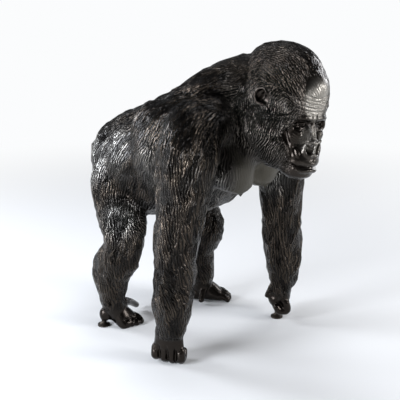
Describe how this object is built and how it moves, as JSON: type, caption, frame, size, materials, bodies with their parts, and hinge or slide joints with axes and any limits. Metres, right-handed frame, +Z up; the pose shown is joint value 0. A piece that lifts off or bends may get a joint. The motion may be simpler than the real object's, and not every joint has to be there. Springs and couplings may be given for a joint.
{
  "type": "gorilla statue",
  "caption": "Life-size metal gorilla statue standing on all fours on its knuckles, head turned slightly aside, with small round fixing pads under one heel and one hand.",
  "frame": {"origin": "middle of the footprint on the ground, under the belly", "axes": "+Z up, the gorilla's nose towards -Y, its own left side towards +X"},
  "size_m": [0.7072, 1.0476, 1.1395],
  "materials": {
    "gorilla_casting": "cast bronze with a near-black brown patina under polished wax",
    "heel_fixing_pad": "turned bronze with a dull dark patina",
    "knuckle_fixing_pad": "turned bronze with a dull dark patina"
  },
  "bodies": {
    "root": {"gorilla_casting": "gorilla_casting", "heel_fixing_pad": "heel_fixing_pad", "knuckle_fixing_pad": "knuckle_fixing_pad"}
  },
  "joints": []
}
